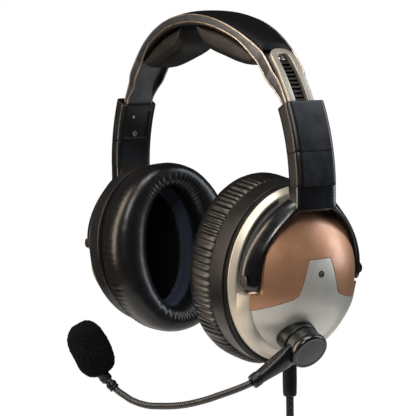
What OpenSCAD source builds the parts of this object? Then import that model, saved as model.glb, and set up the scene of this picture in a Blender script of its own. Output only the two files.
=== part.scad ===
// Aviation headset, worn over both ears, with a boom microphone and a cord on the wearer's left.
// +X is the wearer's left, -Y is the front, +Z is up. The origin is where the head pad rests on
// the crown of the head. Sleeves, rails and frame all bend about one centre below the crown.

/* [Headband] */
// Radius of the flatter crown of the headband frame, to its underside
crown_r = 106.2; // [105.5:0.1:107]
// Radius of the frame's sides, to their underside
band_r = 91.8; // [91:0.1:92]
// Width of the headband at the crown, front to back
band_w = 30; // [28:0.5:34]
// Width of the headband where its sides begin
side_w = 20; // [19.5:0.1:20]
// Angle, about the rails' centre, at which the sides begin
band_angle = 44; // [43.5:0.1:44.5]
// Angle from the crown to each end of the black cover, about the crown's own centre
cover_angle = 35; // [33:0.5:35.5]

/* [Slider] */
// Angle at which the mouth of a sleeve sits, fully pulled out
sleeve_mouth = 64; // [62:0.5:66]
// Angle of the seam between the two halves of a sleeve
sleeve_seam = 79.2; // [78:0.1:80]
// Angle of the lower end of a sleeve
sleeve_end = 89; // [88.5:0.1:89]
// Thickness of a sleeve
sleeve_t = 11; // [10.8:0.1:11.6]
// Width of a sleeve, front to back
sleeve_w = 24; // [23.5:0.1:26]

/* [Ear cup] */
// Distance of the tilt pins from the middle plane
pin_x = 87; // [84:0.5:90]
// Height of the tilt pins
pin_z = -106; // [-110:0.5:-102]
// Lean of the cups, with their lower ends together
toe = 5.3; // [3:0.1:7]
// Half width of the ear cushion
cushion_y = 42; // [41:0.5:44]
// Half height of the ear cushion
cushion_z = 52; // [50:0.5:54]
// Radius of the domed outer covers
dome_r = 50; // [48:0.5:54]

/* [Boom] */
// Slope of the boom's pivot, below the horizontal
boom_slope = 28; // [20:1:32]
// Radius of the round knob on the pivot
knob_r = 9.8; // [9:0.1:11]
// Thickness of the bendable gooseneck
gooseneck_d = 3.6; // [3:0.1:4.2]

/* [Cord] */
// Diameter of the cord
cord_d = 4; // [3.8:0.1:4]
// Radius of the plug's nose
plug_r = 5; // [4.5:0.1:5.5]

/* [Hidden] */
$fn = 48;
eps = 0.01;
arc_z = -62;
plate_t = 1.2;
strip_t = 1.3;
strip_r = band_r + plate_t;
rail_r = strip_r + strip_t + 0.02;
band_end = 48;
band_top = crown_r + plate_t;
lip = 2;
lip_t = 0.8;
join_x = strip_r * sin(band_angle);
crown_end = asin(join_x / band_top);
crown_z = arc_z + strip_r * cos(band_angle) - band_top * cos(crown_end);
pad_base = 2;
rail_t = 3.5;
rail_top = 43.5;
rail_slot = 45;
rail_joint = 49.5;
rail_end = 70.5;
rail_out = 8;
rail_in = 2.6;
rail_screw = 46.5;
tooth_t = 1;
tooth_pitch = 1.5;
sleeve_r = 95.5;
sleeve_corner = 3;
wall = 1.9;
floor_top = 87;
stub_x = 95.2;
stub_top = -60.9;
stub_bottom = -70;
swivel_r = 3;
play = 0.05;
fork_lean = 10.5;
fork_out = [37.5, 43];
fork_in = [30.2, 36];
tip_drop = 2.5;
arm_back = -4;
arm_face = 5;
tilt_pin_r = 2;
dome_apex = 15.5;
dome_a = dome_apex - dome_r;
dome_z = -2;
skin = 2;
cushion_mid = -5.3;
cushion_face = -51;
cushion_back = -21;
ring_face = -10;
lip_face = -6.5;
fill_face = -5.4;
shelf_z = -7.2;
crown = [28.9, 38.5, -4];
lower = [34, 38.4, -3];
tongue_top = [6.6, 10.5];
tongue_foot = [12, -7];
tongue_flare = [14, -9];
seam_end = [40, -18.5];
seam_gap = 0.15;
boom_pos = [101.5, -7, -143];
boom_tip = [91, -35, -157];
socket_r = 9.5;
hub_r = 8.2;
neck_r = 2.3;
neck_l = 10.8;
mic_pos = [17, -79, -163];
mic_dir = [-0.355, -0.296, 0.887];
mic_hinge = [0.64, -0.768, 0];
foam_r = 11.2;
foam_half = 15;
foam_mid = 18;
gooseneck_route = [
    [91, -35, -157], [86.5, -39, -160], [82, -42.5, -162.5], [77, -46, -165], [72, -49, -167.5],
    [66, -53, -170], [60, -56.5, -172], [53.5, -60, -173.5], [47, -63, -174.5], [42, -66, -175],
    [37, -69, -174.5], [32, -71.5, -173.3], [28, -73, -171.8], [24, -74.7, -170], [21, -76, -168],
];
relief_top = [77.5, -2, -152];
relief_end = -172;
coil_z = -222;
coil_in = 19;
coil_out = 27;
coil_half = 10;
coil_y = 6;
coil_x = relief_top[0] - coil_out + cord_d / 2;
tail_y = coil_y - coil_half - cord_d / 2;
plug_top = -257;
cord_route = [for (z = [relief_end : -10 : coil_z]) [relief_top[0], relief_top[1], z]];
tail_route = [for (z = [coil_z : -7 : plug_top]) [relief_top[0], tail_y, z]];
SIDES = [["left", 1], ["right", -1]];
PAIRED = [
    "sleeve_upper", "sleeve_lower", "detent_spring", "sleeve_screws", "swivel_pin", "yoke",
    "cup_pins", "cup_shell", "seal_ring", "dome_cover", "lower_cover", "cover_screw",
    "ear_cushion", "baffle", "speaker", "noise_board", "slider_rails",
];
SINGLE = [
    "headband_frame", "headband_cover", "head_pad", "spring_strips", "rail_screws",
    "crossover_cable", "boom_socket", "boom_arm", "boom_knob", "gooseneck", "mic_collar",
    "mic_holder", "mic_capsule", "windscreen", "strain_relief", "cord", "cord_coil",
    "cord_tail", "cord_tie", "plug_shell", "plug_nut", "plug_nose", "plug_contacts",
];

// ---- shared shapes ----

// Turns a section (radius, front) about a centre below the crown, between two angles from the crown.
module arc(from, to, z = arc_z)
    translate([0, 0, z])
        rotate([90, 0, 0])
            rotate([0, 0, 90 - to])
                rotate_extrude(angle = to - from, $fn = 180)
                    children();

module section(r, t, half)
    translate([r, -half])
        square([t, 2 * half]);

// Places a child drawn along +Z on the headband's centre line, pointing outwards.
module on_arc(angle)
    translate([0, 0, arc_z])
        rotate([0, angle, 0])
            children();

module both_sides() {
    children();
    mirror([1, 0, 0])
        children();
}

// The ear cup's own frame: +X outwards from the pins, +Z up along the cup.
module at_cup(lean = toe)
    translate([pin_x, 0, pin_z])
        rotate([0, lean, 0])
            children();

// Extrudes a (front to back, height) outline outwards, from one depth to another.
module slab(from, to)
    translate([from, 0, 0])
        rotate([90, 0, 90])
            linear_extrude(to - from)
                children();

function power(x, p) = sign(x) * pow(abs(x), p);

function oval(y, z, mid, p = 2, n = 48) =
    [for (i = [0 : n - 1]) let (t = 360 * i / n)
        [y * power(cos(t), 2 / p), mid + z * power(sin(t), 2 / p)]];

module oval_ring(y, z, mid, t)
    difference() {
        polygon(oval(y, z, mid));
        polygon(oval(y - t, z - t, mid));
    }

module below(z)
    translate([-60, z - 80])
        square([120, 80]);

module above(z)
    translate([-60, z])
        square([120, 80]);

// Points a child drawn along +Z in the direction of a vector.
module aim(v)
    rotate([0, acos(v[2] / norm(v)), atan2(v[1], v[0])])
        children();

function unit(v) = v / norm(v);

// A tube through the points of a route, as one closed surface.
function tangent(r, i) = unit(r[min(i + 1, len(r) - 1)] - r[max(i - 1, 0)]);

function ring(r, i, radius, side, n) =
    let (t = tangent(r, i), u = unit(cross(t, side)), v = cross(t, u))
        [for (k = [0 : n - 1]) r[i] + radius * (cos(360 * k / n) * u + sin(360 * k / n) * v)];

module tube(r, d, side, n = 8) {
    points = [for (i = [0 : len(r) - 1]) each ring(r, i, d / 2, side, n)];
    last = (len(r) - 1) * n;
    walls = [for (i = [0 : len(r) - 2]) for (k = [0 : n - 1]) let (j = (k + 1) % n)
        each [[i * n + k, i * n + j, (i + 1) * n + j], [i * n + k, (i + 1) * n + j, (i + 1) * n + k]]];
    caps = [[for (k = [n - 1 : -1 : 0]) k], [for (k = [0 : n - 1]) last + k]];
    polyhedron(points, concat(walls, caps), convexity = 4);
}

// ---- headband ----

// Points (sideways, height) along the headband, at a height above its underside.
function half_line(up, to) = concat(
    [for (a = [0 : 1 : crown_end - 1]) [(crown_r + up) * sin(a), crown_z + (crown_r + up) * cos(a)]],
    [for (a = [band_angle : 1 : to]) [(band_r + up) * sin(a), arc_z + (band_r + up) * cos(a)]]);

function whole_line(up, to) =
    let (h = half_line(up, to)) concat([for (i = [len(h) - 1 : -1 : 1]) [-h[i][0], h[i][1]]], h);

function turned(line) = [for (i = [len(line) - 1 : -1 : 0]) line[i]];

module band_strip(up, t, to)
    translate([0, 20, 0])
        rotate([90, 0, 0])
            linear_extrude(40)
                polygon(concat(whole_line(up, to), turned(whole_line(up + t, to))));

// The headband from above: it narrows from the crown to the sides.
function band_half(x) = side_w / 2 + (band_w - side_w) / 2 * max(0, 1 - pow(x / join_x, 2));

module band_plan(inset)
    translate([0, 0, -20])
        linear_extrude(60)
            polygon(concat(
                [for (x = [-80 : 4 : 80]) [x, inset - band_half(x)]],
                [for (x = [80 : -4 : -80]) [x, band_half(x) - inset]]));

module headband_frame()
    color("dimgray")
        difference() {
            intersection() {
                band_strip(0, plate_t + lip, band_end);
                band_plan(0);
            }
            intersection() {
                band_strip(plate_t, 2 * lip, band_end + 1);
                band_plan(lip_t);
            }
        }

module headband_cover()
    color("black")
        intersection() {
            arc(-cover_angle, cover_angle, crown_z)
                translate([band_top + lip, 0])
                    polygon([
                        [0, -14.6], [1.2, -14.6], [2.8, -11.5], [3.8, -6], [4, 0],
                        [3.8, 6], [2.8, 11.5], [1.2, 14.6], [0, 14.6],
                    ]);
            band_plan(lip_t / 2);
        }

function lobe_top(n = 12) =
    [for (i = [0 : n]) let (t = 34 - 29.2 * i / n, r = crown_r - pad_base / 2)
        [r * sin(t), crown_z + r * cos(t)]];

module head_pad()
    color([0.1, 0.1, 0.1]) {
        intersection() {
            band_strip(-pad_base, pad_base, 0);
            band_plan(lip_t / 2);
        }
        intersection() {
            both_sides()
                translate([0, 16, 0])
                    rotate([90, 0, 0])
                        linear_extrude(32)
                            polygon(concat(lobe_top(), [
                                [9.5, 17], [12, 12.5], [18, 8.2], [29, 4.8], [40, 1.8], [47, 0.3],
                                [50, 0], [54, 0], [58, 2], [59, 4.5],
                            ]));
            band_plan(1);
        }
    }

module spring_strips()
    color("gray")
        both_sides()
            arc(42.5, rail_end)
                section(strip_r, strip_t, 8.5);

module slider_rails()
    color([0.78, 0.72, 0.62])
        difference() {
            arc(rail_top, rail_end)
                section(rail_r, rail_t, rail_out);
            arc(rail_slot, rail_end + 1)
                section(rail_r + tooth_t, rail_t, rail_in);
            for (a = [rail_joint : tooth_pitch : rail_end])
                arc(a, a + tooth_pitch / 2)
                    section(rail_r - 1, tooth_t + 2, rail_in);
            on_arc(rail_screw)
                cylinder(r = 1.2, h = 120);
        }

module rail_screws()
    color("silver")
        both_sides()
            on_arc(rail_screw) {
                translate([0, 0, rail_r])
                    cylinder(r = 1.2, h = tooth_t);
                translate([0, 0, rail_r + tooth_t])
                    cylinder(r = 2.2, h = 1.2);
            }

module crossover_cable()
    color([0.2, 0.2, 0.2])
        arc(-34, 34, crown_z)
            translate([0, 6])
                section(band_top, 1.4, 1.2);

// ---- sleeves ----

// A box with rounded corners, drawn from circles and squares.
module round_box(r, t, half, c) {
    translate([r + c, -half])
        square([t - 2 * c, 2 * half]);
    translate([r, -half + c])
        square([t, 2 * (half - c)]);
    for (x = [r + c, r + t - c])
        for (y = [-half + c, half - c])
            translate([x, y])
                circle(c);
}

module sleeve_outline()
    round_box(sleeve_r - sleeve_t / 2, sleeve_t, sleeve_w / 2, sleeve_corner);

module sleeve_cavity()
    section(sleeve_r - sleeve_t / 2 + wall, sleeve_t - 2 * wall + 0.2, sleeve_w / 2 - 2);

module sleeve_upper()
    color([0.07, 0.07, 0.07])
        difference() {
            arc(sleeve_mouth, sleeve_seam)
                difference() {
                    sleeve_outline();
                    sleeve_cavity();
                }
            arc(66.5, 77.5)
                section(sleeve_r - sleeve_t / 2 - 1, 2, 7.5);
        }

module sleeve_lower()
    color([0.07, 0.07, 0.07])
        difference() {
            arc(sleeve_seam, sleeve_end)
                sleeve_outline();
            arc(sleeve_seam - 1, floor_top)
                sleeve_cavity();
            translate([stub_x, 0, stub_bottom])
                cylinder(r = swivel_r, h = 20);
        }

module detent_spring()
    color("silver") {
        arc(64.8, 70)
            section(98.2, 0.5, 4);
        arc(66, 67)
            section(95.7, 2.5 + eps, 2);
    }

module sleeve_screws()
    color("gray")
        for (s = [[69, -3.5, 1], [76, -1, 1.7]])
            on_arc(s[0])
                translate([0, s[1], sleeve_r - sleeve_t / 2 + 0.3])
                    cylinder(r = s[2], h = 0.67);

module swivel_pin()
    color("silver") {
        translate([stub_x, 0, -68])
            cylinder(r = swivel_r, h = 11.3);
        translate([stub_x, 0, -56.7])
            cylinder(r = swivel_r + 0.3, h = 1);
    }

// ---- yoke ----

module fork_outline() {
    difference() {
        polygon(oval(fork_out[0], fork_out[1], 0));
        polygon(oval(fork_in[0], fork_in[1], 0));
        below(0);
    }
    for (y = [-1, 1])
        translate([y * (fork_out[0] + fork_in[0]) / 2, -tip_drop]) {
            circle((fork_out[0] - fork_in[0]) / 2);
            translate([-(fork_out[0] - fork_in[0]) / 2, 0])
                square([fork_out[0] - fork_in[0], tip_drop + eps]);
        }
}

module yoke()
    color([0.04, 0.04, 0.04])
        difference() {
            union() {
                translate([0, 0, stub_bottom])
                    linear_extrude(stub_top - stub_bottom)
                        round_box(stub_x - sleeve_t / 2, sleeve_t, sleeve_w / 2, sleeve_corner);
                at_cup(fork_lean)
                    slab(arm_back, arm_face)
                        fork_outline();
            }
            translate([stub_x, 0, -68.5])
                cylinder(r = swivel_r + play, h = 20);
            translate([pin_x, 50, pin_z])
                rotate([90, 0, 0])
                    cylinder(r = tilt_pin_r + play, h = 100);
        }

module cup_pins()
    color("gray")
        translate([pin_x, 0, pin_z])
            for (y = [-90, 90])
                rotate([y, 0, 0]) {
                    translate([0, 0, 28.6])
                        cylinder(r = tilt_pin_r, h = 9.4);
                    translate([0, 0, 37.9])
                        cylinder(r = 2.8, h = 0.9);
                }

// ---- ear cups ----

module cover_outline(inset = 0) {
    intersection() {
        polygon(oval(crown[0] - inset, crown[1] - inset, crown[2], 2.3));
        above(shelf_z);
    }
    intersection() {
        polygon(oval(lower[0] - inset, lower[1] - inset, lower[2]));
        below(shelf_z);
    }
}

module lower_area(grow = 0)
    polygon([
        [-tongue_top[0] - grow, tongue_top[1] + grow], [tongue_top[0] + grow, tongue_top[1] + grow],
        [tongue_foot[0] + grow, tongue_foot[1] + grow], [tongue_flare[0], tongue_flare[1] + grow],
        [seam_end[0], seam_end[1] + grow], [seam_end[0], -60], [-seam_end[0], -60],
        [-seam_end[0], seam_end[1] + grow], [-tongue_flare[0], tongue_flare[1] + grow],
        [-tongue_foot[0] - grow, tongue_foot[1] + grow],
    ]);

module dome(radius)
    translate([dome_a, 0, dome_z])
        sphere(radius, $fn = 96);

module cover_skin()
    difference() {
        intersection() {
            slab(fill_face, 20)
                children();
            dome(dome_r);
        }
        dome(dome_r - skin);
    }

module dome_cover()
    color([0.65, 0.42, 0.28])
        at_cup()
            cover_skin()
                difference() {
                    cover_outline();
                    lower_area(seam_gap);
                }

module boom_bore()
    translate(boom_pos)
        rotate([0, 90 + boom_slope, 0])
            translate([0, 0, -24])
                cylinder(r = socket_r, h = 24);

module lower_cover(with_boom)
    color([0.6, 0.58, 0.54])
        difference() {
            at_cup()
                cover_skin()
                    difference() {
                        intersection() {
                            cover_outline();
                            lower_area(-seam_gap);
                        }
                        translate([0, 3])
                            circle(1);
                    }
            if (with_boom)
                boom_bore();
        }

module cover_screw()
    color("silver")
        at_cup()
            translate([dome_apex - skin, 0, 3])
                rotate([0, 90, 0])
                    cylinder(r = 1, h = skin - 0.2);

module cup_shell(with_boom)
    color([0.8, 0.74, 0.64])
        difference() {
            at_cup() {
                slab(ring_face, lip_face)
                    oval_ring(39.5, 46.5, -2.5, 2);
                slab(ring_face, ring_face + 1.5)
                    difference() {
                        polygon(oval(39.5, 46.5, -2.5));
                        cover_outline(skin);
                    }
                slab(ring_face, fill_face)
                    difference() {
                        intersection() {
                            polygon(oval(38.8, 45.8, -2.5));
                            below(shelf_z);
                        }
                        cover_outline(skin);
                    }
                intersection() {
                    slab(ring_face, 12)
                        difference() {
                            cover_outline();
                            cover_outline(skin);
                        }
                    dome(dome_r - skin);
                }
            }
            if (with_boom)
                boom_bore();
        }

module seal_ring()
    color([0.09, 0.09, 0.09])
        at_cup()
            slab(cushion_back, ring_face)
                oval_ring(41, 48.5, -3.5, 4);

module ear_cushion()
    color([0.08, 0.08, 0.08])
        at_cup()
            slab(cushion_face, cushion_back)
                difference() {
                    polygon(oval(cushion_y, cushion_z, cushion_mid));
                    polygon(oval(21.5, 38.5, cushion_mid));
                }

module baffle()
    color([0.13, 0.15, 0.19])
        at_cup()
            slab(cushion_back, cushion_back + 1.6)
                polygon(oval(36.9, 44.4, -3.5));

module speaker()
    color("dimgray")
        at_cup()
            translate([cushion_back + 1.6, 0, -4])
                rotate([0, 90, 0]) {
                    cylinder(r = 20, h = 4);
                    translate([0, 0, 4])
                        cylinder(r = 11, h = 4);
                }

module noise_board()
    color("darkgreen")
        at_cup()
            translate([-6, -18, 4])
                cube([1.6, 36, 22]);

// ---- boom ----

module at_boom()
    translate(boom_pos)
        rotate([0, 90 + boom_slope, 0])
            children();

module boom_socket()
    color([0.1, 0.1, 0.1])
        at_boom()
            translate([0, 0, -17])
                cylinder(r = socket_r, h = 11);

module boom_arm()
    color([0.05, 0.05, 0.05]) {
        hub = boom_pos - 3 * [cos(boom_slope), 0, -sin(boom_slope)];
        at_boom()
            translate([0, 0, -5.7])
                cylinder(r = hub_r, h = 5.4);
        translate(hub)
            aim(boom_tip - hub)
                cylinder(r = neck_r, h = norm(boom_tip - hub));
        translate(hub)
            aim(boom_tip - hub)
                translate([0, 0, neck_l])
                    cylinder(r1 = 4, r2 = 3.2, h = norm(boom_tip - hub) - neck_l);
    }

module boom_knob()
    color([0.02, 0.02, 0.02])
        at_boom() {
            translate([0, 0, -0.3])
                cylinder(r = knob_r, h = 3.5);
            translate([0, 0, 3.2])
                cylinder(r1 = knob_r, r2 = knob_r - 1.2, h = 1.2);
        }

module gooseneck()
    color([0.12, 0.12, 0.12])
        tube(gooseneck_route, gooseneck_d, [0, 0, 1]);

module mic_collar() {
    end = gooseneck_route[len(gooseneck_route) - 1];
    color("silver")
        translate(end)
            aim(mic_pos - end)
                cylinder(r = 2.9, h = 2.8);
}

module mic_holder()
    color([0.05, 0.05, 0.05]) {
        translate(mic_pos)
            aim(mic_hinge)
                translate([0, 0, -3])
                    cylinder(r = 3.6, h = 6);
        translate(mic_pos)
            aim(mic_dir)
                cylinder(r = 2.2, h = 10);
    }

module mic_capsule()
    color("gray")
        translate(mic_pos)
            aim(mic_dir)
                translate([0, 0, 10])
                    cylinder(r = 4.4, h = 11);

function foam_profile(n = 16) =
    [for (i = [0 : n]) let (t = -90 + 180 * i / n) [foam_r * cos(t), foam_mid + foam_half * sin(t)]];

module windscreen()
    color([0.1, 0.1, 0.1])
        translate(mic_pos)
            aim(mic_dir)
                difference() {
                    rotate_extrude()
                        polygon(foam_profile());
                    cylinder(r = 4.5, h = 21.2);
                }

// ---- cord ----

module strain_relief()
    color([0.05, 0.05, 0.05])
        translate([relief_top[0], relief_top[1], relief_end])
            cylinder(r1 = 2.9, r2 = 3.8, h = relief_top[2] - relief_end);

module cord()
    color([0.08, 0.08, 0.08])
        tube(cord_route, cord_d, [0, 1, 0]);

module cord_coil()
    color([0.08, 0.08, 0.08])
        translate([coil_x, coil_y, coil_z])
            rotate([90, 0, 0])
                rotate_extrude($fn = 96)
                    section(coil_in, coil_out - coil_in, coil_half);

module cord_tail()
    color([0.08, 0.08, 0.08])
        tube(tail_route, cord_d, [0, 1, 0]);

module cord_tie()
    color([0.15, 0.15, 0.15])
        translate([coil_x - 4, coil_y - 14.4, coil_z + coil_in - 1.6])
            difference() {
                cube([8, 25.8, 11.4]);
                translate([-1, 1.2, 1.2])
                    cube([10, 23.4, 9]);
            }

module at_plug(z)
    translate([relief_top[0], tail_y, z])
        children();

module plug_shell()
    color([0.12, 0.12, 0.12])
        at_plug(plug_top - 10) {
            cylinder(r1 = 4.6, r2 = 2.6, h = 10);
            translate([0, 0, -22])
                cylinder(r = 6.3, h = 22);
        }

module plug_nut()
    color("silver")
        at_plug(plug_top - 32)
            difference() {
                cylinder(r = 7.4, h = 9);
                cylinder(r = 6.3, h = 30, center = true);
            }

module plug_nose()
    color("silver")
        at_plug(plug_top - 43)
            difference() {
                cylinder(r = plug_r, h = 11);
                cylinder(r = plug_r - 0.8, h = 16, center = true);
            }

module plug_contacts()
    color("gold")
        at_plug(plug_top - 40)
            for (a = [0 : 60 : 300])
                rotate([0, 0, a])
                    translate([2.4, 0, 0])
                        cylinder(r = 0.5, h = 5);

// ---- nodes ----

headband_frame();
headband_cover();
head_pad();
spring_strips();
rail_screws();
crossover_cable();
boom_socket();
boom_arm();
boom_knob();
gooseneck();
mic_collar();
mic_holder();
mic_capsule();
windscreen();
strain_relief();
cord();
cord_coil();
cord_tail();
cord_tie();
plug_shell();
plug_nut();
plug_nose();
plug_contacts();
for (s = SIDES)
    mirror([s[1] < 0 ? 1 : 0, 0, 0]) {
        slider_rails();
        sleeve_upper();
        sleeve_lower();
        detent_spring();
        sleeve_screws();
        swivel_pin();
        yoke();
        cup_pins();
        cup_shell(s[1] > 0);
        seal_ring();
        dome_cover();
        lower_cover(s[1] > 0);
        cover_screw();
        ear_cushion();
        baffle();
        speaker();
        noise_board();
    }
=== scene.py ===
"""Looks of the aviation headset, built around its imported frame.

All places are in metres in the frame's own axes: +X is the wearer's left, -Y the front, +Z up, and
the origin is where the head pad rests on the head. Plain lengths below are in millimetres.
"""
from math import asin, copysign, cos, degrees, exp, hypot, pi, radians, sin, sqrt, tan, tau

import bmesh
import bpy
from mathutils import Matrix, Vector, noise


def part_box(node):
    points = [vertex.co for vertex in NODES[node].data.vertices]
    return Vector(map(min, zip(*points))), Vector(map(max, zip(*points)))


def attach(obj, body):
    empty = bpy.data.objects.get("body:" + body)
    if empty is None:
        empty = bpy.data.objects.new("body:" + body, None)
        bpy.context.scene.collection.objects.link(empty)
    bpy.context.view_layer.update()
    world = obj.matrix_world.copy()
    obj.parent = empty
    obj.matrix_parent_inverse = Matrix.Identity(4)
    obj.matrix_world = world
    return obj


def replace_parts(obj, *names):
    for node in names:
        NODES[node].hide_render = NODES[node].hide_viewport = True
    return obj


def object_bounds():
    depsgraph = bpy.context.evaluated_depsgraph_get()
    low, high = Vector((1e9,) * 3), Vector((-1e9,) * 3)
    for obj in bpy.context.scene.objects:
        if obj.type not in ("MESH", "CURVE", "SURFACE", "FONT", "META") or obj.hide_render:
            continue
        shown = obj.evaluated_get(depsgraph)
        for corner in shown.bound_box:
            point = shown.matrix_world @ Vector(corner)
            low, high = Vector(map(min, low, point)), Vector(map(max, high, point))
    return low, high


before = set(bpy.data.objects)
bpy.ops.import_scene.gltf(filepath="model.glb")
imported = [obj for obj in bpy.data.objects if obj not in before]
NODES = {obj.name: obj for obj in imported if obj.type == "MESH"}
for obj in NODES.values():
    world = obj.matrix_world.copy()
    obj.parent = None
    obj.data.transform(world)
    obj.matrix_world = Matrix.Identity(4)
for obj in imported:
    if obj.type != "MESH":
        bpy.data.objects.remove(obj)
CAD_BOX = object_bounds()
SCENE = bpy.context.scene
SIDES = {"left": 1, "right": -1}
MM = 0.001


def mm(x, y, z):
    """A point or an offset given in millimetres."""
    return Vector((x, y, z)) * MM


# The headband, as in the CAD model: the rails' arc about ARC_Z, and the flatter crown over it that
# meets the frame's sides at SIDE_START degrees, at JOIN_X.
ARC_Z = -62
ARC_CENTRE = mm(0, 0, ARC_Z)
CROWN_TOP, SIDE_TOP, SIDE_START = 107.4, 93.0, 44
JOIN_X = SIDE_TOP * sin(radians(SIDE_START))
CROWN_END = degrees(asin(JOIN_X / CROWN_TOP))
CROWN_Z = ARC_Z + JOIN_X / tan(radians(SIDE_START)) - JOIN_X / tan(radians(CROWN_END))

# The ear cups lie about their tilt pins, and lean in by TOE. Their covers are a sphere, cut at SHELF_U.
PIN_LOW, PIN_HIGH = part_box("left_cup_pins")
PIN_X = PIN_LOW.x / 2 + PIN_HIGH.x / 2
PIN_Z = PIN_LOW.z / 2 + PIN_HIGH.z / 2
TOE = radians(5.3)
FORK_LEAN = radians(10.5)
DOME_R = 50
DOME_TOP = 15.5
DOME_A = DOME_TOP - DOME_R
DOME_U = -2
SHELF_U = -7.2


# ---- camera, lights and floor ----

def placed(name, data):
    """A new object in the scene."""
    made = bpy.data.objects.new(name, data)
    SCENE.collection.objects.link(made)
    return made


def aimed(eye, target, roll=0.0):
    """A matrix at eye, looking at target with +Z upwards, rolled about the line of sight."""
    turn = (target - eye).to_track_quat("-Z", "Y").to_matrix().to_4x4()
    return Matrix.Translation(eye) @ turn @ Matrix.Rotation(roll, 4, "Z")


def around(target, azimuth, elevation, distance):
    """The point at a distance from target; azimuth 0 is in front, 90 on the wearer's left."""
    az, el = radians(azimuth), radians(elevation)
    out = Vector((sin(az) * cos(el), -cos(az) * cos(el), sin(el)))
    return target + out * distance


def add_camera():
    """A long lens at the photograph's angle, from the wearer's front left."""
    target = mm(9.6, -8.3, -78.4)
    data = bpy.data.cameras.new("camera")
    data.lens, data.sensor_width = 103.35, 36
    camera = placed("camera", data)
    eye = around(target, azimuth=58, elevation=6.23, distance=0.668)
    camera.matrix_world = aimed(eye, target, roll=radians(-0.85))
    SCENE.camera = camera


def add_light(name, azimuth, elevation, distance, size, watts, colour):
    """A soft light aimed at the middle of the headset."""
    target = mm(0, 0, -90)
    data = bpy.data.lights.new(name, "AREA")
    data.shape, data.size, data.size_y = "RECTANGLE", size[0], size[1]
    data.energy, data.color = watts, colour
    placed(name, data).matrix_world = aimed(around(target, azimuth, elevation, distance), target)


def add_studio():
    """Four soft lights, and a world that is white to the camera and only a faint fill to the object."""
    warm, cool, white = (1.0, 0.84, 0.68), (0.84, 0.91, 1.0), (1.0, 0.98, 0.95)
    add_light("key_left", -28, 20, 0.8, (0.28, 0.9), 7.5, warm)
    add_light("fill_right", 152, 22, 0.8, (0.28, 0.8), 5, cool)
    add_light("top", 60, 74, 0.8, (0.5, 0.3), 5, white)
    add_light("front", 44, 34, 1.1, (0.35, 0.35), 7, white)
    SCENE.view_settings.view_transform = "Standard"
    world = bpy.data.worlds.new("studio")
    SCENE.world = world
    world.use_nodes = True
    tree = world.node_tree
    tree.nodes.clear()
    path, mix, out, fill, seen = (tree.nodes.new("ShaderNode" + kind) for kind in (
        "LightPath", "MixShader", "OutputWorld", "Background", "Background"))
    for node, colour, strength in ((fill, (0.9, 0.93, 1.0, 1), 0.04), (seen, (1, 1, 1, 1), 1.0)):
        node.inputs["Color"].default_value = colour
        node.inputs["Strength"].default_value = strength
    sources = (path.outputs["Is Camera Ray"], fill.outputs[0], seen.outputs[0])
    for source, socket in zip(sources, mix.inputs):
        tree.links.new(source, socket)
    tree.links.new(mix.outputs[0], out.inputs[0])


# ---- materials ----

class Shader:
    """A Principled material with short calls for the nodes that drive it."""

    def __init__(self, name, colour, roughness, metallic=0.0, **constants):
        self.material = bpy.data.materials.new(name)
        self.material.use_nodes = True
        self.tree = self.material.node_tree
        self.main = self.tree.nodes["Principled BSDF"]
        self.colour = (*colour, 1)
        constants |= {"Base_Color": self.colour, "Roughness": roughness, "Metallic": metallic}
        self.fill(self.main, constants)
        self.coords = self.node("TexCoord").outputs["Object"]

    def fill(self, node, inputs):
        for key, value in inputs.items():
            self.feed(value, node.inputs[key.replace("_", " ")])

    def feed(self, value, socket):
        """Links a socket's input, or sets its value."""
        if isinstance(value, bpy.types.NodeSocket):
            self.tree.links.new(value, socket)
        else:
            socket.default_value = value

    def node(self, kind, **inputs):
        made = self.tree.nodes.new("ShaderNode" + kind)
        self.fill(made, inputs)
        return made

    def stretched(self, scale, turn=(0, 0, 0)):
        return self.node("Mapping", Vector=self.coords, Scale=scale, Rotation=turn).outputs[0]

    def noise(self, scale, detail=3.0, vector=None):
        """Cloudy noise, scale cells to the metre."""
        return self.node("TexNoise", Vector=vector or self.coords, Scale=scale, Detail=detail).outputs[0]

    def cells(self, scale, feature="F1", vector=None):
        made = self.node("TexVoronoi", Vector=vector or self.coords, Scale=scale)
        made.feature = feature
        return made.outputs["Distance"]

    def ranged(self, value, low, high, start=0.3, end=0.7):
        """Maps a value from start..end to low..high."""
        made = self.node("MapRange")
        for number, socket in zip((value, start, end, low, high), made.inputs):
            self.feed(number, socket)
        return made.outputs[0]

    def maths(self, operation, a, b=0.0):
        made = self.node("Math")
        made.operation = operation
        self.feed(a, made.inputs[0])
        self.feed(b, made.inputs[1])
        return made.outputs[0]

    def paint(self, factor, other):
        """Varies the base colour towards another by a factor."""
        made = self.node("Mix")
        made.data_type = "RGBA"
        for index, value in ((0, factor), (6, self.colour), (7, (*other, 1))):
            self.feed(value, made.inputs[index])
        self.fill(self.main, {"Base_Color": made.outputs[2]})

    def rough(self, factor, low, high):
        """Varies the roughness between two values by a factor."""
        self.fill(self.main, {"Roughness": self.ranged(factor, low, high)})

    def bump(self, *layers):
        """Stacks bumps, each a height and its depth."""
        normal = None
        for height, depth in layers:
            made = self.node("Bump", Height=height, Distance=depth * MM)
            if normal:
                self.tree.links.new(normal, made.inputs["Normal"])
            normal = made.outputs[0]
        self.fill(self.main, {"Normal": normal})


def moulded(name, colour, roughness, shine=0.28, depth=0.04):
    """Moulded plastic: fine grain, faint mottling, and roughness that wanders a little."""
    s = Shader(name, colour, roughness, Specular_IOR_Level=shine)
    s.paint(s.ranged(s.noise(90), 0.0, 0.6), tuple(c * 1.7 + 0.002 for c in colour))
    s.rough(s.noise(140, 4), roughness * 0.85, roughness * 1.2)
    s.bump((s.noise(1800, 2), depth), (s.noise(45, 2), depth * 0.6))
    return s.material


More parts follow.
